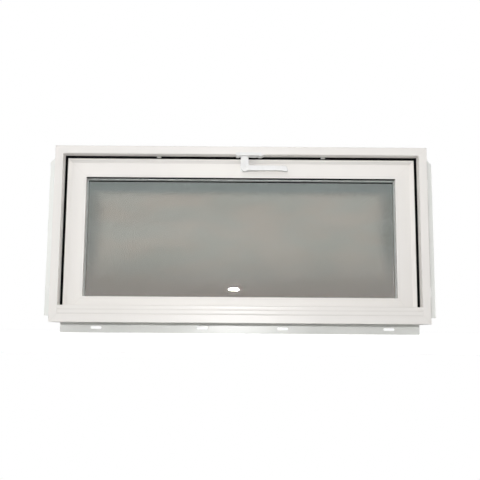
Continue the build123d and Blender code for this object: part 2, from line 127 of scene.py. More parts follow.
class Board:
    """The node tree of one material or world, built by plain calls."""

    def __init__(self, name: str, kind: str = "Material") -> None:
        """Start an empty tree.

        Args:
            name: The name of the material or world.
            kind: "Material" or "World".
        """
        self.kind = kind
        self.owner = getattr(bpy.data, kind.lower() + "s").new(name)
        self.owner.use_nodes = True
        self.tree = self.owner.node_tree
        self.tree.nodes.clear()

    def add(
        self,
        kind: str,
        settings: dict[str, object] | None = None,
        inputs: dict[int | str, object] | None = None,
        output: int | str | None = 0,
    ) -> Wire | None:
        """Add one node.

        Args:
            kind: The node's type.
            settings: Its settings, which are made first.
            inputs: Values or wires for its sockets, by name or number.
            output: The output to return, if there is one.

        Returns:
            A wire on the output, or nothing.
        """
        node = self.tree.nodes.new(kind)
        for name, value in (settings or {}).items():
            setattr(node, name, value)
        for name, value in (inputs or {}).items():
            if isinstance(value, Wire):
                self.tree.links.new(value.socket, node.inputs[name])
            else:
                node.inputs[name].default_value = value
        return None if output is None else Wire(self, node.outputs[output])

    def maths(self, operation: str, *values: "Wire | float") -> Wire:
        """A Math node on one to three values."""
        return self.add("ShaderNodeMath", {"operation": operation}, dict(enumerate(values)))

    def axes(self) -> tuple[Wire, Wire, Wire]:
        """Take the Object coordinates apart.

        Returns:
            The coordinates along X, Y and Z.
        """
        spot = self.add("ShaderNodeTexCoord", output="Object")
        x = self.add("ShaderNodeSeparateXYZ", {}, {"Vector": spot})
        return x, x.take("Y"), x.take("Z")

    def noise(self, grains: Point | float, detail: float = 2.0, roughness: float = 0.5) -> Wire:
        """Noise on the Object coordinates.

        Args:
            grains: The grains a metre, for each axis or the same for all.
            detail: How many octaves it has.
            roughness: How much the finer octaves weigh.

        Returns:
            The noise, from 0 to 1.
        """
        scale = grains if isinstance(grains, tuple) else (grains, grains, grains)
        spot = self.add("ShaderNodeTexCoord", output="Object")
        spread = self.add("ShaderNodeMapping", {}, {"Vector": spot, "Scale": scale})
        facts = {"Vector": spread, "Scale": 1.0, "Detail": detail, "Roughness": roughness}
        return self.add("ShaderNodeTexNoise", {}, facts)

    def fade(self, value: Wire, span: Span, start: float = 0.0, end: float = 1.0) -> Wire:
        """A smooth step of a value.

        Args:
            value: The value that steps.
            span: Where the step begins and where it ends.
            start: The result before the step.
            end: The result after it.

        Returns:
            The stepped value.
        """
        low, high = span
        facts = {"Value": value, "From Min": low, "From Max": high, "To Min": start, "To Max": end}
        return self.add("ShaderNodeMapRange", {"interpolation_type": "SMOOTHSTEP"}, facts)

    @staticmethod
    def about(mean: float, spread: float, noise: Wire) -> Wire:
        """A value that a noise moves about its mean."""
        return noise * spread + (mean - spread / 2)

    def blend(self, share: "Wire | float", first: Wire | Colour, second: Wire | Colour) -> Wire:
        """A colour between two, by a share."""
        facts = {MIX_SHARE: share, MIX_FIRST: self.rgba(first), MIX_SECOND: self.rgba(second)}
        return self.add("ShaderNodeMix", {"data_type": "RGBA"}, facts, output=MIX_RESULT)

    @staticmethod
    def rgba(colour: Wire | Colour) -> Wire | tuple[float, ...]:
        """A colour with its alpha, or the wire as it is."""
        return colour if isinstance(colour, Wire) else (*colour, 1.0)

    def relief(self, height: Wire) -> Wire:
        """A normal from a height in millimetres."""
        return self.add("ShaderNodeBump", {}, {"Strength": 1.0, "Distance": MM, "Height": height})

    def mixed(self, share: Wire, first: Wire, second: Wire) -> Wire:
        """A shader between two, by a share."""
        return self.add("ShaderNodeMixShader", {}, {0: share, 1: first, 2: second})

    def finish(self, shader: Wire) -> bpy.types.ID:
        """Link a shader to the surface and give the material or world."""
        self.add("ShaderNodeOutput" + self.kind, {}, {"Surface": shader}, output=None)
        return self.owner


# Finishes


class Run(Enum):
    """The way an extrusion runs, as the grain of its drawn lines along each axis."""

    LEVEL = (0.04, 1.0, 1.0)
    UPRIGHT = (1.0, 1.0, 0.04)

    def grains(self, across: float) -> Point:
        """The grains a metre for each axis, from those across the run."""
        return tuple(across * share for share in self.value)


@dataclass(frozen=True)
class Mitre:
    """A mitred rectangle in the upright plane, centred on x = 0, in metres."""

    half_width: float
    half_height: float
    centre: float

    @classmethod
    def around(cls, low_node: str, high_node: str, side_node: str) -> "Mitre":
        """The rectangle on the outer edges of the nodes along the bottom, the top and the right."""
        low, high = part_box(low_node)[0].z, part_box(high_node)[1].z
        return cls(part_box(side_node)[1].x, (high - low) / 2, (high + low) / 2)

    def off_the_joint(self, board: Board) -> Wire:
        """The distance from the corners' mitre lines, in millimetres, times the root of two."""
        x, _, z = board.axes()
        return abs((abs(x) - abs(z - self.centre)) - (self.half_width - self.half_height)) * PER_MM

    def inset(self, board: Board, run: Run) -> Wire:
        """Measure in from the nearer of the two edges that have a run.

        Args:
            board: The board to wire it on.
            run: The run of those edges.

        Returns:
            The distance, in millimetres.
        """
        x, _, z = board.axes()
        if run is Run.LEVEL:
            return (self.half_height - abs(z - self.centre)) * PER_MM
        return (self.half_width - abs(x)) * PER_MM


@dataclass(frozen=True)
class Score:
    """A line along an extrusion, placed in from its rectangle's edge, in millimetres.

    Dull is what it adds to the roughness, and its other share blends towards a shaded colour:
    painted shade, standing in for the shade that falls in a groove or on a bevel turned from the
    light.
    """

    inset: float
    half_width: float
    depth: float = 0.12
    dull: float = 0.6
    painted_shade_share: float = 0.35

    def share(self, board: Board, inset: Wire) -> Wire:
        """1 on the line and 0 off it, with soft edges."""
        edge = (0.8 * self.half_width, 1.2 * self.half_width)
        return board.fade(abs(inset - self.inset), edge, 1.0, 0.0)


@dataclass(frozen=True)
class Vinyl:
    """White extruded vinyl, with drawn lines along its run and welded mitres.

    Heights, depths and edges are in millimetres, and grains are counted a metre.
    """

    name: str
    run: Run = Run.LEVEL
    mitre: Mitre | None = None
    colour: Colour = (0.865, 0.840, 0.808)
    shade: Colour = (0.825, 0.800, 0.772)
    roughness: float = 0.33
    spread: float = 0.12
    line_grain: float = 180.0
    hair_grain: float = 900.0
    pore_grain: float = 1600.0
    cloud_grain: float = 4.0
    cloud_share: float = 0.7
    line_height: float = 0.035
    hair_height: float = 0.01225
    pore_height: float = 0.004
    welded: bool = True
    seam_edge: Span = (0.4, 1.3)
    seam_depth: float = 0.15
    seam_share: float = 0.6
    scraped_edge: Span = (2.2, 3.4)
    scraped_flat: float = 0.7
    scraped_dull: float = 0.12
    # Painted shade: the scores blend the colour towards the shaded colour below on their lines.
    scores: tuple[Score, ...] = ()
    painted_shade_colour: Colour = (0.740, 0.718, 0.690)

    def dress(self) -> bpy.types.Material:
        """Build the material.

        Returns:
            The material.
        """
        board = Board(self.name)
        lines = board.noise(self.run.grains(self.line_grain), detail=3.0, roughness=0.6)
        hairs = board.noise(self.run.grains(self.hair_grain))
        clouds = board.noise(self.cloud_grain, detail=1.0)
        pores = board.noise(self.pore_grain, detail=1.0)
        height = lines * self.line_height + hairs * self.hair_height + pores * self.pore_height
        tone = board.fade(clouds, (0.3, 0.7), end=self.cloud_share)
        roughness = board.about(self.roughness, self.spread, lines)
        # Painted shade from the scores is summed here and blended into the base colour.
        painted_shade_share = None
        for score in self.scores:
            share = score.share(board, self.mitre.inset(board, self.run))
            height = height - share * score.depth
            roughness = roughness + share * score.dull
            painted_shade_share = share * score.painted_shade_share if painted_shade_share is None else painted_shade_share + share * score.painted_shade_share
        if self.mitre is not None and self.welded:
            off = self.mitre.off_the_joint(board)
            seam = board.fade(off, self.seam_edge, 1.0, 0.0)
            scraped = board.fade(off, self.scraped_edge, 1.0, 0.0)
            height = height * (1 - scraped * self.scraped_flat) - seam * self.seam_depth
            roughness = roughness + scraped * self.scraped_dull
            tone = tone + seam * self.seam_share
        colour = board.blend(tone, self.colour, self.shade)
        facts = {
            "Base Color": colour if painted_shade_share is None else board.blend(painted_shade_share, colour, self.painted_shade_colour),
            "Roughness": roughness,
            "Normal": board.relief(height),
            "IOR": REFRACTION,
        }
        return board.finish(board.add(PRINCIPLED, {}, facts))


@dataclass(frozen=True)
class FinVinyl:
    """The thin, slightly dull and greenish vinyl of the nailing fins."""

    name: str
    run: Run
    colour: Colour = (0.92, 0.93, 0.90)
    shade: Colour = (0.85, 0.87, 0.84)
    roughness: float = 0.25
    spread: float = 0.14
    sheen: float = 0.7
    line_grain: float = 420.0
    line_height: float = 0.05
    cloud_grain: float = 9.0
    cloud_share: float = 0.6

    def dress(self) -> bpy.types.Material:
        """Build the material.

        Returns:
            The material.
        """
        board = Board(self.name)
        lines = board.noise(self.run.grains(self.line_grain), detail=3.0)
        clouds = board.fade(board.noise(self.cloud_grain), (0.35, 0.75), end=self.cloud_share)
        facts = {
            "Base Color": board.blend(clouds, self.colour, self.shade),
            "Roughness": board.about(self.roughness, self.spread, lines),
            "Specular IOR Level": self.sheen,
            "Normal": board.relief(lines * self.line_height),
        }
        return board.finish(board.add(PRINCIPLED, {}, facts))


@dataclass(frozen=True)
class ClearPane:
    """A clean pane that mirrors what is before it and lets the rest through."""

    name: str
    tint: Colour = (0.975, 0.985, 0.98)
    roughness: float = 0.002
    spread: float = 0.002
    smudge_grain: float = 18.0

    def dress(self) -> bpy.types.Material:
        """Build the material.

        Returns:
            The material.
        """
        board = Board(self.name)
        haze = board.noise(self.smudge_grain, detail=4.0, roughness=0.6)
        roughness = board.about(self.roughness, self.spread, haze)
        mirror_facts = {"Color": WHITE, "Roughness": roughness}
        mirror = board.add("ShaderNodeBsdfAnisotropic", {}, mirror_facts)
        clear = board.add("ShaderNodeBsdfTransparent", {}, {"Color": board.rgba(self.tint)})
        inward = board.add("ShaderNodeNewGeometry", output="Backfacing")
        share = board.add("ShaderNodeFresnel", {}, {"IOR": REFRACTION}) * (1 - inward)
        return board.finish(board.mixed(share, clear, mirror))


@dataclass(frozen=True)
class TintedPane:
    """A grey pane with painted shade: dimmer and cooler towards the edges of its opening, given in
    metres.
    """

    name: str
    low: Point
    high: Point
    body: float = 0.365
    # Painted shade: this extra opacity and the shade colours below gather at the opening's sides,
    # head and foot.
    edge: float = 0.06
    drift: float = 0.10
    warm: Colour = (0.300, 0.225, 0.150)
    cool: Colour = (0.225, 0.220, 0.160)
    painted_side_shade: Colour = (0.050, 0.065, 0.035)
    painted_head_shade: Colour = (0.020, 0.072, 0.060)
    painted_foot_shade: Colour = (0.105, 0.045, 0.005)
    side_shade_reach: Span = (0.002, 0.050)
    head_shade_reach: Span = (0.018, 0.044)
    foot_shade_reach: Span = (0.0, 0.13)
    foot_shade_share: float = 0.95
    cloud_grains: Point = (3.5, 3.5, 13.0)
    patch_grains: Point = (7.0, 7.0, 30.0)
    roughness: float = 0.0025
    spread: float = 0.003

    def dress(self) -> bpy.types.Material:
        """Build the material.

        Returns:
            The material.
        """
        board = Board(self.name)
        x, _, z = board.axes()
        # Painted shade: masks that make the glass dimmer near the opening's sides, head and foot.
        side = board.fade(self.high[0] - abs(x), self.side_shade_reach, 1.0, 0.0)
        head = board.fade(self.high[2] - z, self.head_shade_reach, 1.0, 0.0)
        foot = board.fade(z - self.low[2], self.foot_shade_reach, self.foot_shade_share, 0.0)
        shade = board.maths("MAXIMUM", board.maths("MAXIMUM", side, head), foot)
        cloud = board.noise(self.cloud_grains, detail=1.5)
        patches = board.noise(self.patch_grains, roughness=0.6)
        middle = board.blend(board.fade(patches, (0.38, 0.62)), self.warm, self.cool)
        ends = board.blend(head, board.blend(foot, self.painted_side_shade, self.painted_foot_shade), self.painted_head_shade)
        facts = {
            "Base Color": board.blend(shade, middle, ends),
            "Roughness": board.about(self.roughness, self.spread, patches),
            "Alpha": self.body + shade * self.edge + (cloud - 0.5) * self.drift,
            "IOR": REFRACTION,
        }
        return board.finish(board.add(PRINCIPLED, {}, facts))


@dataclass(frozen=True)
class Rubber:
    """Black seal rubber with a dusty bloom."""

    name: str
    colour: Colour = (0.002, 0.002, 0.0023)
    bloom: Colour = (0.006, 0.006, 0.0065)
    roughness: float = 0.7
    spread: float = 0.2
    sheen: float = 0.12
    dust_grain: float = 90.0
    pore_grain: float = 2200.0
    pore_height: float = 0.03

    def dress(self) -> bpy.types.Material:
        """Build the material.

        Returns:
            The material.
        """
        board = Board(self.name)
        dust = board.noise(self.dust_grain, detail=4.0, roughness=0.6)
        pores = board.noise(self.pore_grain, detail=1.0)
        facts = {
            "Base Color": board.blend(board.fade(dust, (0.45, 0.75)), self.colour, self.bloom),
            "Roughness": board.about(self.roughness, self.spread, dust),
            "Normal": board.relief(pores * self.pore_height),
            "Specular IOR Level": self.sheen,
        }
        return board.finish(board.add(PRINCIPLED, {}, facts))


@dataclass(frozen=True)
class Paint:
    """A sprayed coat with a faint orange peel."""

    name: str
    colour: Colour = (0.875, 0.875, 0.87)
    worn: Colour = (0.80, 0.80, 0.79)
    roughness: float = 0.26
    spread: float = 0.08
    peel_grain: float = 520.0
    peel_height: float = 0.02
    wear_grain: float = 40.0
    coat: float = 0.15

    def dress(self) -> bpy.types.Material:
        """Build the material.

        Returns:
            The material.
        """
        board = Board(self.name)
        peel = board.noise(self.peel_grain)
        wear = board.fade(board.noise(self.wear_grain), (0.4, 0.8))
        facts = {
            "Base Color": board.blend(wear, self.colour, self.worn),
            "Roughness": board.about(self.roughness, self.spread, peel),
            "Normal": board.relief(peel * self.peel_height),
            "Coat Weight": self.coat,
        }
        return board.finish(board.add(PRINCIPLED, {}, facts))


@dataclass(frozen=True)
class Metal:
    """Bare metal, brushed along the window's width."""

    name: str
    colour: Colour = (0.62, 0.63, 0.64)
    roughness: float = 0.32
    spread: float = 0.16
    brush_grains: Point = (60.0, 1400.0, 1400.0)
    brush_height: float = 0.006
    stain_grain: float = 30.0
    stain_share: float = 0.86

    def dress(self) -> bpy.types.Material:
        """Build the material.

        Returns:
            The material.
        """
        board = Board(self.name)
        brush = board.noise(self.brush_grains)
        stain = board.fade(board.noise(self.stain_grain), (0.35, 0.75))
        dull = tuple(self.stain_share * channel for channel in self.colour)
        facts = {
            "Base Color": board.blend(stain, self.colour, dull),
            "Metallic": 1.0,
            "Roughness": board.about(self.roughness, self.spread, brush),
            "Normal": board.relief(brush * self.brush_height),
        }
        return board.finish(board.add(PRINCIPLED, {}, facts))


@dataclass(frozen=True)
class PerforatedMetal:
    """The spacer's folded strip, with fine holes in its bottom run.

    A hole shows where a face lies on a row along X and on one along Z at once, and only the
    bottom run does.
    """

    name: str
    row: float
    colour: Colour = (0.98, 0.98, 0.975)
    hollow: Colour = (0.02, 0.02, 0.02)
    shine: float = 0.05
    roughness: float = 0.4
    spread: float = 0.2
    pitch: float = 4.0 * MM
    hole: float = 0.35 * MM
    hole_depth: float = 0.3
    brush_grains: Point = (220.0, 1800.0, 220.0)
    brush_height: float = 0.008

    def dress(self) -> bpy.types.Material:
        """Build the material.

        Returns:
            The material.
        """
        board = Board(self.name)
        x, y, z = board.axes()
        across = abs(y - self.row)
        level, upright = (self.row_of_dots(board, along, across) for along in (x, z))
        holes = level * upright
        brush = board.noise(self.brush_grains)
        facts = {
            "Base Color": board.blend(holes, self.colour, self.hollow),
            "Metallic": (1 - holes) * self.shine,
            "Roughness": board.about(self.roughness, self.spread, brush),
            "Normal": board.relief(brush * self.brush_height - holes * self.hole_depth),
        }
        return board.finish(board.add(PRINCIPLED, {}, facts))

    def row_of_dots(self, board: Board, along: Wire, across: Wire) -> Wire:
        """Wire up one row of round dots.

        Args:
            board: The board to wire it on.
            along: The place along the row.
            across: The distance from it.

        Returns:
            1 in the dots and 0 outside.
        """
        step = board.maths("PINGPONG", along, self.pitch / 2)
        reach = board.maths("SQRT", step * step + across * across)
        return board.fade(reach, (0.8 * self.hole, 1.2 * self.hole), 1.0, 0.0)


@dataclass(frozen=True)
class Thread:
    """Vinyl-coated glass yarn of the insect mesh."""

    name: str
    colour: Colour = (0.10, 0.105, 0.11)
    shade: Colour = (0.05, 0.052, 0.055)
    roughness: float = 0.47
    spread: float = 0.1
    twist_grain: float = 900.0

    def dress(self) -> bpy.types.Material:
        """Build the material.

        Returns:
            The material.
        """
        board = Board(self.name)
        twist = board.noise(self.twist_grain, detail=1.0)
        facts = {
            "Base Color": board.blend(twist, self.colour, self.shade),
            "Roughness": board.about(self.roughness, self.spread, twist),
        }
        return board.finish(board.add(PRINCIPLED, {}, facts))


# Bench work


class Blank:
    """A bmesh that operators shape, and that ends as a finished piece."""

    def __init__(self) -> None:
        """Start with nothing on the bench."""
        self.form = bmesh.new()

    def block(self, low: Sequence[float], high: Sequence[float]) -> None:
        """Add a block between two corners.

        Args:
            low: Its lowest corner, in metres.
            high: Its highest corner, in metres.
        """
        low, high = Vector(low), Vector(high)
        stretch = Matrix.LocRotScale((low + high) / 2, None, high - low)
        bmesh.ops.create_cube(self.form, size=1.0, matrix=stretch)

    def soften(
        self,
        width: float,
        segments: int = 3,
        choose: Callable[[bmesh.types.BMEdge], bool] | None = None,
    ) -> None:
        """Bevel edges.

        Args:
            width: The bevel's width, in metres.
            segments: Its segments.
            choose: Which of the sharp edges it takes, or else all of them.
        """
        self.form.normal_update()
        sharp = [e for e in self.form.edges if e.is_manifold and e.calc_face_angle() > SHARP_EDGE]
        edges = [e for e in sharp if choose is None or choose(e)]
        bmesh.ops.bevel(
            self.form,
            geom=edges,
            offset=width,
            segments=segments,
            profile=0.5,
            affect="EDGES",
            material=-1,
        )

    def turned(self, profile: Iterable[Span], centre: Point, steps: int) -> None:
        """Spin a profile about an axis along Y.

        Args:
            profile: Pairs of radius and depth along Y, in metres, from the axis outwards.
            centre: Where the axis lies; its depth is added to the profile's.
            steps: How many faces the turn has.
        """
        middle = Vector(centre)
        spots = [middle + Vector((radius, depth, 0.0)) for radius, depth in profile]
        verts = [self.form.verts.new(spot) for spot in spots]
        edges = [self.form.edges.new(pair) for pair in zip(verts, verts[1:])]
        bmesh.ops.spin(
            self.form,
            geom=verts + edges,
            cent=middle,
            axis=(0.0, 1.0, 0.0),
            angle=math.tau,
            steps=steps,
            use_merge=True,
        )
        bmesh.ops.remove_doubles(self.form, verts=self.form.verts[:], dist=WELD)

    def hoop(self, mitre: Mitre, section: Sequence[Span], spare: float = 0.0) -> None:
        """Sweep a closed section round a mitred rectangle.

        Four steps of a spin give a square hoop with mitred corners. Its right and left halves are
        then moved apart to the rectangle's width.

        Args:
            mitre: The rectangle that the section's insets are measured from.
            section: Pairs of depth along Y and distance inside the rectangle, in metres.
            spare: How much less the section's tip reaches in along the bottom.
        """
        insets = [inset for _, inset in section]
        root, tip = min(insets), max(insets)
        half = mitre.half_height
        spots = [(half - inset, depth, half - inset) for depth, inset in section]
        verts = [self.form.verts.new(spot) for spot in spots]
        edges = [self.form.edges.new(pair) for pair in zip(verts, verts[1:] + verts[:1])]
        bmesh.ops.spin(
            self.form,
            geom=verts + edges,
            cent=(0.0, 0.0, 0.0),
            axis=(0.0, 1.0, 0.0),
            angle=math.tau,
            steps=4,
            use_merge=True,
        )
        whole = self.form.verts[:]
        for sign in (-1, 1):
            end = [v for v in whole if v.co.x * sign > 0]
            shift = (sign * (mitre.half_width - half), 0.0, 0.0)
            bmesh.ops.translate(self.form, verts=end, vec=shift)
        foot = [v for v in whole if v.co.z < 0]
        keep = 1 - spare / (tip - root)
        ground = Matrix.Translation((0.0, 0.0, half - root))
        bmesh.ops.scale(self.form, verts=foot, vec=(1.0, 1.0, keep), space=ground)
        bmesh.ops.translate(self.form, verts=whole, vec=(0.0, 0.0, mitre.centre))

    def copied(self, count: int, step: Vector) -> None:
        """Repeat all that is on the bench.

        Args:
            count: How many there are in the end.
            step: The way from each to the next, in metres.
        """
        first = self.form.verts[:] + self.form.edges[:] + self.form.faces[:]
        for number in range(1, count):
            made = bmesh.ops.duplicate(self.form, geom=first)["geom"]
            verts = [part for part in made if isinstance(part, bmesh.types.BMVert)]
            bmesh.ops.translate(self.form, verts=verts, vec=step * number)

    def piece(
        self,
        name: str,
        finish: bpy.types.Material,
        body: str = "window",
        replaces: Iterable[str] = (),
        smooth: float = 35.0,
    ) -> None:
        """End the work as an object that rides a body.

        Args:
            name: The piece's name.
            finish: Its material.
            body: The CAD body that it rides.
            replaces: The CAD nodes that it stands for.
            smooth: The angle, in degrees, up to which its faces shade as one.
        """
        bmesh.ops.recalc_face_normals(self.form, faces=self.form.faces[:])
        mesh = bpy.data.meshes.new(name)
        self.form.to_mesh(mesh)
        self.form.free()
        mesh.materials.append(finish)
        mesh.polygons.foreach_set("use_smooth", [True] * len(mesh.polygons))
        mesh.set_sharp_from_angle(angle=math.radians(smooth))
        made = bpy.data.objects.new(name, mesh)
        bpy.context.scene.collection.objects.link(made)
        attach(made, body)
        if replaces:
            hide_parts(*replaces)
        log.info("%s: %d faces on %s", name, len(mesh.polygons), body)


def dress_nodes(finish: bpy.types.Material, *names: str) -> None:
    """Give CAD nodes a finish by their material slots.

    Args:
        finish: The material.
        names: The nodes.
    """
    for name in names:
        for slot in frame["nodes"][name].material_slots:
            slot.material = finish
        log.info("%s: dressed with %s", name, finish.name)


def on_sides(stem: str) -> list[str]:
    """The names of four nodes that go round, one for each side."""
    return [f"{stem}_{side}" for side in SIDES]


# Sub-assemblies


@dataclass
class OuterFrame:
    """The welded frame, its sill dam, the weep hoods and the nailing fins."""

    gloss: float = 0.34
    # Painted shade: bands of shaded colour along the dam's foot and over the upper edge of its
    # groove.
    dam_scores: tuple[Score, ...] = (Score(18.2, 1.6, painted_shade_share=0.5), Score(27.4, 1.2))

    def build(self) -> None:
        """Dress the nodes."""
        mitre = self.outline()
        level = Vinyl("frame_vinyl_level", Run.LEVEL, mitre, roughness=self.gloss)
        upright = Vinyl("frame_vinyl_upright", Run.UPRIGHT, mitre, roughness=self.gloss)
        dam = Vinyl(
            "dam_vinyl",
            Run.LEVEL,
            mitre,
            roughness=self.gloss,
            welded=False,
            scores=self.dam_scores,
        )
        dress_nodes(level.dress(), "frame_head", "frame_sill", "weep_hood_left", "weep_hood_right")
        dress_nodes(upright.dress(), "frame_left_jamb", "frame_right_jamb")
        dress_nodes(dam.dress(), "sill_dam")
        level_fin = FinVinyl("fin_vinyl_level", Run.LEVEL).dress()
        upright_fin = FinVinyl("fin_vinyl_upright", Run.UPRIGHT).dress()
        dress_nodes(level_fin, "nailing_fin_sill")
        dress_nodes(upright_fin, "nailing_fin_left", "nailing_fin_right")

    @staticmethod
    def outline() -> Mitre:
        """The frame's outer rectangle."""
        return Mitre.around("frame_sill", "frame_head", "frame_right_jamb")


@dataclass
class Sash:
    """The tilting sash with its insulated glass."""

    matt: float = 0.45
    bead_matt: float = 0.36
    # Painted shade: the level rails' bevel is given the shaded colour, standing in for the shade
    # under the head's lip, and the face line is given it in its groove; the stiles' bevel is only
    # duller.
    bevel: Score = Score(6.9, 3.1, depth=0.0, dull=0.1, painted_shade_share=0.9)
    side_bevel: Score = Score(6.9, 3.4, depth=0.0, dull=0.4, painted_shade_share=0.0)
    face_line: Score = Score(37.0, 0.45)
    tape_depth: float = 9.6 * MM
    tape_thickness: float = 1.55 * MM
    side_tape_depth: float = 0.8 * MM
    side_tape_thickness: float = 0.15 * MM
    tape_round: float = 0.1 * MM
    sealant_depth: float = 1.2 * MM
    sealant_drop: float = 2.75 * MM
    sealant_round: float = 0.4 * MM
    clear: float = 0.05 * MM

    def build(self) -> None:
        """Dress the rails, beads and panes, and run the black lines round the glass, which are
        partly painted shade.
        """
        mitre = Mitre.around("sash_bottom_rail", "sash_top_rail", "sash_right_stile")
        level = Vinyl(
            "sash_vinyl_level",
            Run.LEVEL,
            mitre,
            roughness=self.matt,
            scores=(self.bevel, self.face_line),
        )
        upright = Vinyl(
            "sash_vinyl_upright",
            Run.UPRIGHT,
            mitre,
            roughness=self.matt,
            scores=(self.side_bevel, self.face_line),
        )
        dress_nodes(level.dress(), "sash_top_rail", "sash_bottom_rail")
        dress_nodes(upright.dress(), "sash_left_stile", "sash_right_stile")
        bead = Vinyl("bead_vinyl", Run.LEVEL, mitre, roughness=self.bead_matt).dress()
        dress_nodes(bead, *on_sides("glazing_bead"))
        dress_nodes(ClearPane("inner_glass").dress(), "inner_pane")
        opening = self.opening()
        dress_nodes(TintedPane("outer_glass", *opening).dress(), "outer_pane")
        near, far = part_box("glass_spacer")
        strip = PerforatedMetal("spacer_strip", (near.y + far.y) / 2).dress()
        dress_nodes(strip, "glass_spacer")
        dress_nodes(Metal("pin_steel").dress(), "pivot_pin_left", "pivot_pin_right")
        rubber = Rubber("glazing_rubber").dress()
        self.tape(rubber, *opening)
        self.sealant(rubber, *opening)

    @staticmethod
    def opening() -> tuple[Point, Point]:
        """Find the sash's glass opening, at the inner pane's depth.

        Returns:
            Its lowest and its highest corner.
        """
        left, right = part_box("sash_left_stile")[1].x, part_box("sash_right_stile")[0].x
        low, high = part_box("sash_bottom_rail")[1].z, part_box("sash_top_rail")[0].z
        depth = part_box("inner_pane")[0].y
        return (left, depth, low), (right, depth, high)

    def tape(self, rubber: bpy.types.Material, low: Point, high: Point) -> None:
        """Lay the glazing tape under the top rail and, thinner, along the stiles; it is partly real
        glazing rubber and partly painted shade, thickest where the glass's edge lies in shade.

        Args:
            rubber: The material.
            low: The opening's lowest corner.
            high: Its highest corner.
        """
        blank = Blank()
        back = low[1] - self.clear
        under = high[2] - self.tape_thickness
        start = (low[0] + self.clear, back - self.tape_depth, under)
        blank.block(start, (high[0] - self.clear, back, high[2]))
        for edge, inward in ((low[0], 1), (high[0], -1)):
            sides = (edge + inward * self.clear, edge + inward * self.side_tape_thickness)
            start = (min(sides), back - self.side_tape_depth, low[2] + self.clear)
            blank.block(start, (max(sides), back, under))
        blank.soften(self.tape_round, segments=2)
        blank.piece("glazing_tape_and_shade", rubber)

    def sealant(self, rubber: bpy.types.Material, low: Point, high: Point) -> None:
        """Run the bead of sealant along the underside of the spacer's top strip; it is partly the
        glass unit's edge seal and partly painted shade where that underside faces down into shade.

        Args:
            rubber: The material.
            low: The opening's lowest corner.
            high: Its highest corner.
        """
        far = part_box("glass_spacer")[1]
        strip = far.x - high[0]
        under = far.z - strip
        blank = Blank()
        start = (low[0] + self.clear, far.y - self.sealant_depth, under - self.sealant_drop)
        blank.block(start, (high[0] - self.clear, far.y - self.clear, under))
        blank.soften(self.sealant_round, choose=self.lies_across)
        blank.piece("spacer_sealant_and_shade", rubber)

    @staticmethod
    def lies_across(edge: bmesh.types.BMEdge) -> bool:
        """Whether an edge runs along the window's width."""
        return abs((edge.verts[0].co - edge.verts[1].co).x) > 1.0 * MM


@dataclass
class Seals:
    """The soft seals round the sash."""

    foot: float = 1.6 * MM
    neck: float = 0.5 * MM
    bulb: float = 1.2 * MM
    waist: float = 2.64 * MM
    roundness: int = 6
    smooth: float = 50.0

    def build(self) -> None:
        """Make both seals as mitred hoops with rounded tips."""
        rubber = Rubber("seal_rubber").dress()
        mitre = OuterFrame.outline()
        self.gap_seal(mitre, rubber)
        self.stop_seal(mitre, rubber)

    def gap_seal(self, mitre: Mitre, rubber: bpy.types.Material) -> None:
        """The bulb seal on the channel floor.

        Args:
            mitre: The frame's outer rectangle.
            rubber: The material.
        """
        low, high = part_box("gap_seal_right")
        front, back = low.y, high.y
        root, tip = mitre.half_width - high.x, mitre.half_width - low.x
        middle = (front + back) / 2
        ground = root + self.foot
        heart, waist = tip - self.bulb, tip - self.waist
        curve = [math.pi * step / self.roundness for step in range(self.roundness + 1)]
        arc = [(middle - self.bulb * math.cos(a), heart + self.bulb * math.sin(a)) for a in curve]
        feet = [(back, ground), (back, root), (front, root), (front, ground)]
        left = [(middle - self.neck, ground), (middle - self.neck, waist)]
        right = [(middle + self.neck, waist), (middle + self.neck, ground)]
        floor = mitre.centre - mitre.half_height
        spare = tip - (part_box("gap_seal_bottom")[1].z - floor)
        blank = Blank()
        blank.hoop(mitre, feet + left + arc + right, spare)
        nodes = on_sides("gap_seal")
        blank.piece("gap_seal_hoop", rubber, replaces=nodes, smooth=self.smooth)

    def stop_seal(self, mitre: Mitre, rubber: bpy.types.Material) -> None:
        """The compression seal behind the sash.

        Args:
            mitre: The frame's outer rectangle.
            rubber: The material.
        """
        low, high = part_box("stop_seal_right")
        root, tip = mitre.half_width - high.x, mitre.half_width - low.x
        middle, reach, rise = (root + tip) / 2, (tip - root) / 2, high.y - low.y
        steps = 2 * self.roundness
        curve = [math.pi * step / steps for step in range(steps + 1)]
        bow = [(high.y - rise * math.sin(a), middle - reach * math.cos(a)) for a in curve]
        blank = Blank()
        blank.hoop(mitre, bow)
        nodes = on_sides("stop_seal")
        blank.piece("stop_seal_hoop", rubber, replaces=nodes, smooth=self.smooth)


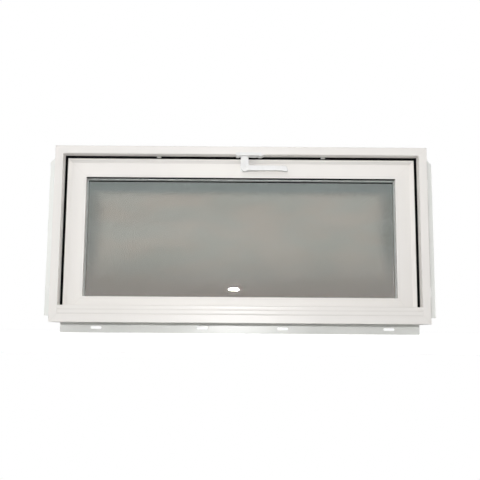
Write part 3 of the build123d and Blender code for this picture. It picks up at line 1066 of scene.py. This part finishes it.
@dataclass
class Latch:
    """The latch, its keeper and the bumpers beside it."""

    rivet_radius: float = 4.4 * MM
    rivet_height: float = 1.0 * MM
    rivet_dome: tuple[Span, ...] = ((0.0, 0.0), (0.45, 0.06), (0.8, 0.3), (0.95, 0.6))
    rivet_clear: float = 0.1 * MM
    rivet_colour: Colour = (0.81, 0.81, 0.80)
    rivet_matt: float = 0.45
    shank_share: float = 0.6
    shank_length: float = 1.2 * MM
    steps: int = 32
    bumper_round: float = 1.2 * MM
    bumper_rise: float = 0.9 * MM
    bumper_colour: Colour = (0.62, 0.61, 0.59)

    def build(self) -> None:
        """Dress the castings and add the rivet's head and the soft bumpers."""
        paint = Paint("latch_paint").dress()
        dress_nodes(paint, "latch_base", "latch_handle", "latch_keeper")
        self.rivet(Paint("rivet_paint", self.rivet_colour, roughness=self.rivet_matt).dress())
        soft = Vinyl(
            "bumper_vinyl",
            Run.LEVEL,
            colour=self.bumper_colour,
            shade=self.bumper_colour,
        ).dress()
        for side in ("left", "right"):
            self.bumper(side, soft)

    def rivet(self, paint: bpy.types.Material) -> None:
        """The low painted head of the rivet in the hub, on a stub of its shank.

        Args:
            paint: The material.
        """
        place = frame["record"]["behaviour"]["joints"][0]["pos_m"]
        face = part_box("latch_handle")[0].y - self.rivet_clear
        top, end = face - self.rivet_height, face + self.shank_length
        radius, waist = self.rivet_radius, self.shank_share * self.rivet_radius
        dome = [(share * radius, top + drop * self.rivet_height) for share, drop in self.rivet_dome]
        profile = [*dome, (radius, face), (waist, face), (waist, end), (0.0, end)]
        blank = Blank()
        blank.turned(profile, (place[0], 0.0, place[2]), self.steps)
        blank.piece("latch_rivet", paint)

    def bumper(self, side: str, soft: bpy.types.Material) -> None:
        """One bumper, rounded wherever it stands free of the head.

        Args:
            side: "left" or "right".
            soft: The material.
        """
        node = "head_bumper_" + side
        low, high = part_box(node)
        blank = Blank()
        blank.block((low.x, low.y, low.z + self.bumper_rise), high)
        blank.soften(
            self.bumper_round,
            segments=4,
            choose=lambda edge: max(v.co.z for v in edge.verts) < high.z,
        )
        blank.piece("soft_bumper_" + side, soft, replaces=(node,))


@dataclass
class InsectScreen:
    """The insect screen in the rebate outside."""

    thread: float = 0.27 * MM
    upright_pitch: float = 1.41 * MM
    level_pitch: float = 1.59 * MM
    bar_colour: Colour = (0.84, 0.84, 0.83)
    bar_matt: float = 0.38
    cord_width: float = 3.5 * MM
    cord_ribs: int = 5
    cord_rib: float = 0.35 * MM
    cord_shoulder: float = 0.5 * MM
    cord_colour: Colour = (0.02, 0.02, 0.021)
    cord_bloom: Colour = (0.04, 0.04, 0.041)
    cord_sheen: float = 0.5
    cord_smooth: float = 20.0

    def build(self) -> None:
        """Dress the bars, weave the mesh and lay the cord."""
        bars = Paint("screen_bar_paint", self.bar_colour, roughness=self.bar_matt).dress()
        dress_nodes(bars, *on_sides("screen_bar"))
        yarn = Thread("mesh_yarn").dress()
        low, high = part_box("screen_mesh")
        middle = (low.y + high.y) / 2
        self.weave("screen_threads_up", yarn, low, (high.x, middle, high.z), True)
        self.weave("screen_threads_across", yarn, (low.x, middle, low.z), high, False)
        self.cord()

    def cord(self) -> None:
        """The ribbed cord that holds the mesh in the bars' groove."""
        low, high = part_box("screen_spline")
        mitre = Mitre(high.x, (high.z - low.z) / 2, (high.z + low.z) / 2)
        inner, count = self.cord_width, 2 * self.cord_ribs
        ribs = [0.0 if step % 2 else self.cord_rib for step in range(1, count)]
        face = [(high.y - rib, inner * step / count) for step, rib in enumerate(ribs, 1)]
        shoulder = high.y - self.cord_shoulder
        section = [(low.y, 0.0), (shoulder, 0.0), *face, (shoulder, inner), (low.y, inner)]
        blank = Blank()
        blank.hoop(mitre, section)
        vinyl = Rubber("spline_vinyl", self.cord_colour, self.cord_bloom, sheen=self.cord_sheen)
        blank.piece(
            "screen_spline_cord",
            vinyl.dress(),
            replaces=("screen_spline",),
            smooth=self.cord_smooth,
        )

    def weave(
        self,
        name: str,
        yarn: bpy.types.Material,
        low: Sequence[float],
        high: Sequence[float],
        upright: bool,
    ) -> None:
        """Lay one layer of threads.

        Args:
            name: The piece's name.
            yarn: Its material.
            low: The layer's lowest corner.
            high: The layer's highest corner.
            upright: Whether the threads stand up or lie across.
        """
        low, high = Vector(low), Vector(high)
        across, pitch = (0, self.upright_pitch) if upright else (2, self.level_pitch)
        room = high[across] - low[across] - self.thread
        count = int(room / pitch) + 1
        start, end = low.copy(), high.copy()
        start[across] += (room - pitch * (count - 1)) / 2
        end[across] = start[across] + self.thread
        blank = Blank()
        blank.block(start, end)
        step = Vector((0.0, 0.0, 0.0))
        step[across] = pitch
        blank.copied(count, step)
        blank.piece(name, yarn, replaces=("screen_mesh",))


@dataclass(frozen=True)
class Lamp:
    """One soft lamp of the studio."""

    name: str
    place: Point
    width: float
    height: float
    power: float
    mirrored: bool = True
    outline: str = "ELLIPSE"
    target: Point = (0.0, 0.0, 0.2)

    def hang(self) -> None:
        """Hang the lamp."""
        data = bpy.data.lights.new(self.name, "AREA")
        data.shape = self.outline
        data.size = self.width
        data.size_y = self.height
        data.energy = self.power
        lamp = bpy.data.objects.new(self.name, data)
        lamp.location = self.place
        lamp.visible_camera = False
        lamp.visible_glossy = self.mirrored
        aim = Vector(self.target) - Vector(self.place)
        lamp.rotation_euler = aim.to_track_quat("-Z", "Y").to_euler()
        bpy.context.scene.collection.objects.link(lamp)


@dataclass
class Studio:
    """The floor, the light and the camera, whose angles are in degrees."""

    camera_place: Point = (-0.0014, -1.5039, -0.0088)
    yaw: float = -0.018
    pitch: float = 7.654
    roll: float = 0.405
    lens: float = 51.70
    sensor: float = 36.0
    floor_size: float = 14.0
    floor_drop: float = 0.6 * MM
    floor_paper: Colour = (0.78, 0.78, 0.78)
    floor_glow: float = 0.96
    ambient: float = 0.20
    air: Colour = (1.0, 0.995, 0.985)
    horizon: Span = (-0.2, 0.2)
    lamps: tuple[Lamp, ...] = (
        Lamp("flash_lamp", (-0.0255, -1.463, 0.175), 0.036, 0.0045, 7.5, outline="RECTANGLE"),
        Lamp("key_lamp", (-0.5, -2.8, 1.25), 1.0, 1.0, 1.5, mirrored=False),
        Lamp("ceiling_lamp", (-0.4, -2.2, 1.75), 0.9, 0.9, 14.2, mirrored=False),
        Lamp("left_fill", (-2.0, -1.7, 0.5), 1.4, 1.4, 12.0),
        Lamp("right_fill", (2.4, -1.1, 0.5), 1.4, 1.4, 8.5),
        Lamp("back_lamp", (1.4, 2.6, 1.6), 1.6, 1.6, 45.0),
    )

    def build(self) -> None:
        """Set up the studio."""
        self.lay_floor()
        self.light_world()
        for lamp in self.lamps:
            lamp.hang()
        self.set_camera()

    def lay_floor(self) -> None:
        """A pale floor under the lowest fin, white to the camera where nothing shades it."""
        blank = bmesh.new()
        bottom = Matrix.Translation((0.0, 0.0, CAD_BOX[0].z - self.floor_drop))
        half = self.floor_size / 2
        bmesh.ops.create_grid(blank, x_segments=1, y_segments=1, size=half, matrix=bottom)
        mesh = bpy.data.meshes.new("studio_floor")
        blank.to_mesh(mesh)
        blank.free()
        board = Board("floor_paper")
        paper = board.add("ShaderNodeBsdfDiffuse", {}, {"Color": board.rgba(self.floor_paper)})
        glow = board.add("ShaderNodeEmission", {}, {"Strength": self.floor_glow})
        both = board.add("ShaderNodeAddShader", {}, {0: paper, 1: glow})
        seen, _ = self.seen(board)
        mesh.materials.append(board.finish(board.mixed(seen, paper, both)))
        floor = bpy.data.objects.new("studio_floor", mesh)
        bpy.context.scene.collection.objects.link(floor)

    def light_world(self) -> None:
        """Soft light from all round, white to the camera, and a dimmer room for gloss to mirror."""
        board = Board("studio_air", "World")
        look = board.add("ShaderNodeSeparateXYZ", {}, {"Vector": board.add("ShaderNodeTexCoord")})
        room = board.fade(look.take("Y"), self.horizon, self.ambient, 1.0)
        shades = ((board.rgba(self.air), self.ambient), (WHITE, room), (WHITE, 1.0))
        soft, gloss, white = (
            board.add("ShaderNodeBackground", {}, {"Color": colour, "Strength": strength})
            for colour, strength in shades
        )
        seen, glossy = self.seen(board)
        mirrored = board.mixed(glossy, soft, gloss)
        bpy.context.scene.world = board.finish(board.mixed(seen, mirrored, white))

    @staticmethod
    def seen(board: Board) -> tuple[Wire, Wire]:
        """Tell the kinds of ray apart.

        Args:
            board: The board to wire it on.

        Returns:
            Whether the camera sees it, straight or through glass, and whether gloss mirrors it.
        """
        rays = board.add("ShaderNodeLightPath")
        seen = board.maths("MAXIMUM", rays, rays.take("Is Transmission Ray"))
        return seen, rays.take("Is Glossy Ray")

    def set_camera(self) -> None:
        """Stand the camera where the photograph was taken from."""
        data = bpy.data.cameras.new("studio_camera")
        data.lens = self.lens
        data.sensor_width = self.sensor
        camera = bpy.data.objects.new("studio_camera", data)
        camera.matrix_world = (
            Matrix.Translation(self.camera_place)
            @ Matrix.Rotation(math.radians(self.yaw), 4, "Z")
            @ Matrix.Rotation(math.radians(self.pitch), 4, "X")
            @ Matrix.Rotation(math.radians(-self.roll), 4, "Y")
            @ Matrix.Rotation(math.pi / 2, 4, "X")
        )
        bpy.context.scene.collection.objects.link(camera)
        bpy.context.scene.camera = camera
        bpy.context.scene.view_settings.view_transform = "Standard"


def main() -> None:
    """Dress the window, then set up the studio round it."""
    logging.basicConfig(level=logging.INFO, format="%(name)s: %(message)s")
    for assembly in (OuterFrame(), Sash(), Seals(), Latch(), InsectScreen(), Studio()):
        assembly.build()
        log.info("%s is done", type(assembly).__name__)


if __name__ == "__main__":
    main()
